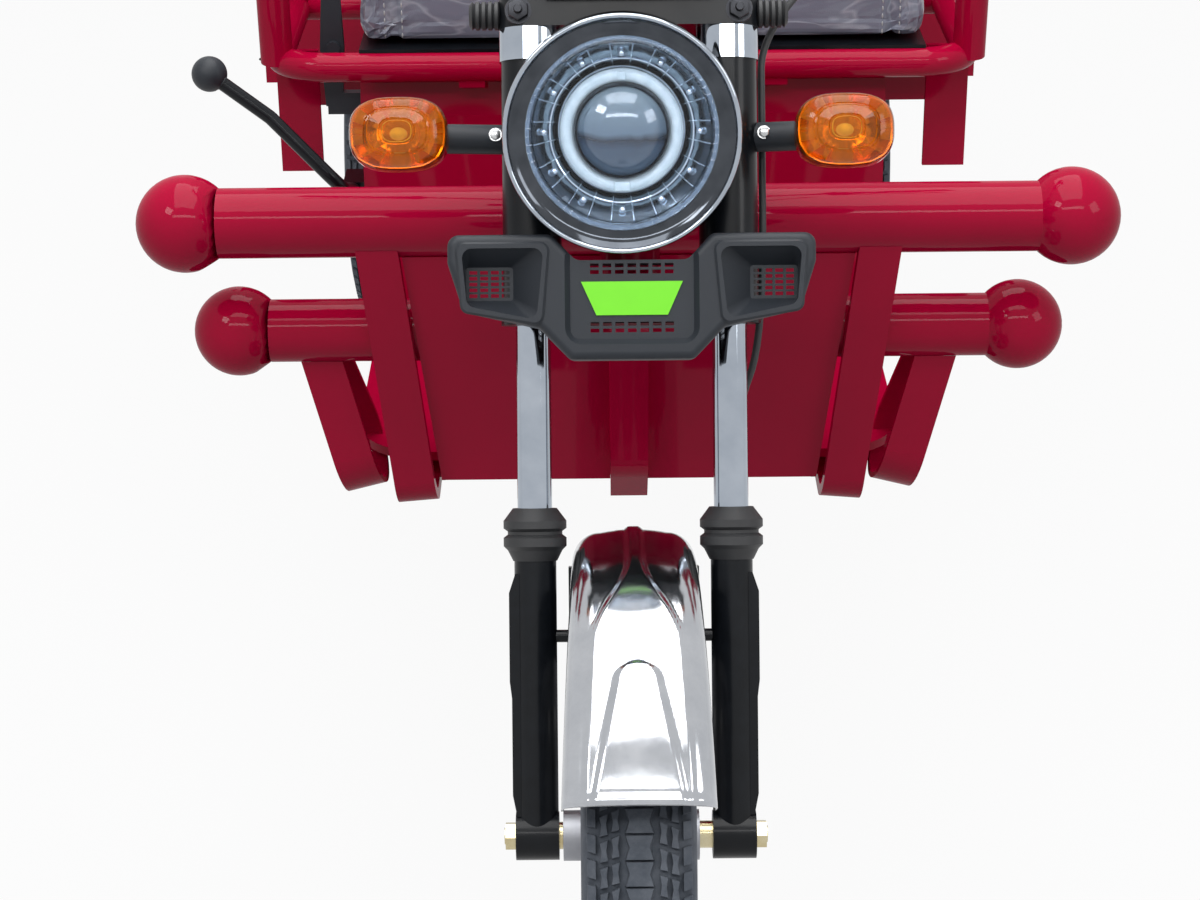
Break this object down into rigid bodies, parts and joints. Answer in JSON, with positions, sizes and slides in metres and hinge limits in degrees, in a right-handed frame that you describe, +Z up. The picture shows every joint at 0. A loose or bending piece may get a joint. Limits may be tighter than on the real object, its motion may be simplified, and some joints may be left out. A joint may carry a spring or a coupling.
{
  "type": "electric cargo tricycle",
  "caption": "Electric cargo tricycle with a telescopic fork, round headlamp, tube bumpers, bench seat over a battery box and a drop-side load bed on a driven rear axle.",
  "frame": {"origin": "on the ground under the middle of the length and width", "axes": "+Y to the rear, +X to the vehicle's left (the viewer's right from the front), +Z up"},
  "size_m": [1.0049, 2.9349, 1.1881],
  "materials": {
    "red_paint": "gloss",
    "black_paint": "satin",
    "charcoal_plastic": "matt grain",
    "chrome": "polished",
    "stainless": "polished",
    "tyre_rubber": "dusty",
    "wheel_silver": "cast",
    "zinc": "passivated",
    "motor_alloy": "cast",
    "amber_lens": "clear moulded",
    "clear_lens": "clear",
    "reflector": "faceted",
    "projector_lens": "dark",
    "grey_leather": "grained",
    "lime_plate": "gloss",
    "red_lens": "clear moulded",
    "black_rubber": "matt"
  },
  "bodies": {
    "chassis": {"bumper_upper": "red_paint", "bumper_lower": "red_paint", "main_frame": "red_paint", "shield_bars": "red_paint", "bumper_hoops": "red_paint", "leg_shield": "red_paint", "footboard": "red_paint", "seat_box": "red_paint", "seat_frame": "red_paint", "bed_floor": "red_paint", "bed_front_wall": "red_paint", "bed_sides": "red_paint", "frame_rails": "black_paint", "frame_crossmembers": "black_paint", "rear_axle": "black_paint", "leaf_springs": "black_paint", "rear_crossbar": "black_paint", "backrest_frame": "black_paint", "brake_pedal": "black_paint", "gear_lever": "black_paint", "gear_knob": "charcoal_plastic", "hand_brake": "charcoal_plastic", "battery_pack": "charcoal_plastic", "drive_motor": "motor_alloy", "backrest_pad": "grey_leather", "tail_lamps": "red_lens", "mud_flaps": "black_rubber"},
    "steering": {"front_axle": "zinc", "fork_lower_legs": "black_paint", "fork_boots": "black_rubber", "fork_stanchions": "chrome", "steering_stem": "black_paint", "fork_covers": "black_paint", "fork_collars": "chrome", "front_mudguard": "stainless", "handlebar": "chrome", "grips": "black_rubber", "brake_levers": "black_paint", "mirrors": "charcoal_plastic", "instrument": "charcoal_plastic", "brake_cable": "black_rubber", "turn_signal_lenses": "amber_lens", "turn_signal_stalks": "charcoal_plastic", "front_panel": "charcoal_plastic", "panel_plate": "lime_plate", "headlamp_bowl": "charcoal_plastic", "headlamp_bezel": "chrome", "headlamp_lens": "clear_lens", "headlamp_reflector": "reflector", "headlamp_projector": "projector_lens"},
    "front_wheel": {"front_tyre": "tyre_rubber", "front_wheel": "wheel_silver"},
    "rear_right_wheel": {"rear_right_tyre": "tyre_rubber", "rear_right_wheel": "wheel_silver"},
    "rear_left_wheel": {"rear_left_tyre": "tyre_rubber", "rear_left_wheel": "wheel_silver"},
    "tailgate": {"tailgate": "red_paint"},
    "seat": {"seat_base": "black_paint", "seat_cushion": "grey_leather"}
  },
  "joints": [
    {"name": "steering_turn", "type": "hinge", "parent": "chassis", "child": "steering", "pos_m": [0, -1.17806, 0.23894], "axis": [0, 0.4226, 0.9063], "range_deg": [-42, 42]},
    {"name": "front_wheel_spin", "type": "hinge", "parent": "steering", "child": "front_wheel", "pos_m": [0, -1.2125, 0.255], "axis": [1, 0, 0], "continuous": true},
    {"name": "rear_right_wheel_spin", "type": "hinge", "parent": "chassis", "child": "rear_right_wheel", "pos_m": [-0.378, 0.8075, 0.255], "axis": [1, 0, 0], "continuous": true},
    {"name": "rear_left_wheel_spin", "type": "hinge", "parent": "chassis", "child": "rear_left_wheel", "pos_m": [0.378, 0.8075, 0.255], "axis": [1, 0, 0], "continuous": true},
    {"name": "tailgate_drop", "type": "hinge", "parent": "chassis", "child": "tailgate", "pos_m": [0, 1.4575, 0.63], "axis": [-1, 0, 0], "range_deg": [0, 170]},
    {"name": "seat_tilt", "type": "hinge", "parent": "chassis", "child": "seat", "pos_m": [0, -0.3685, 0.76], "axis": [1, 0, 0], "range_deg": [0, 70]}
  ]
}
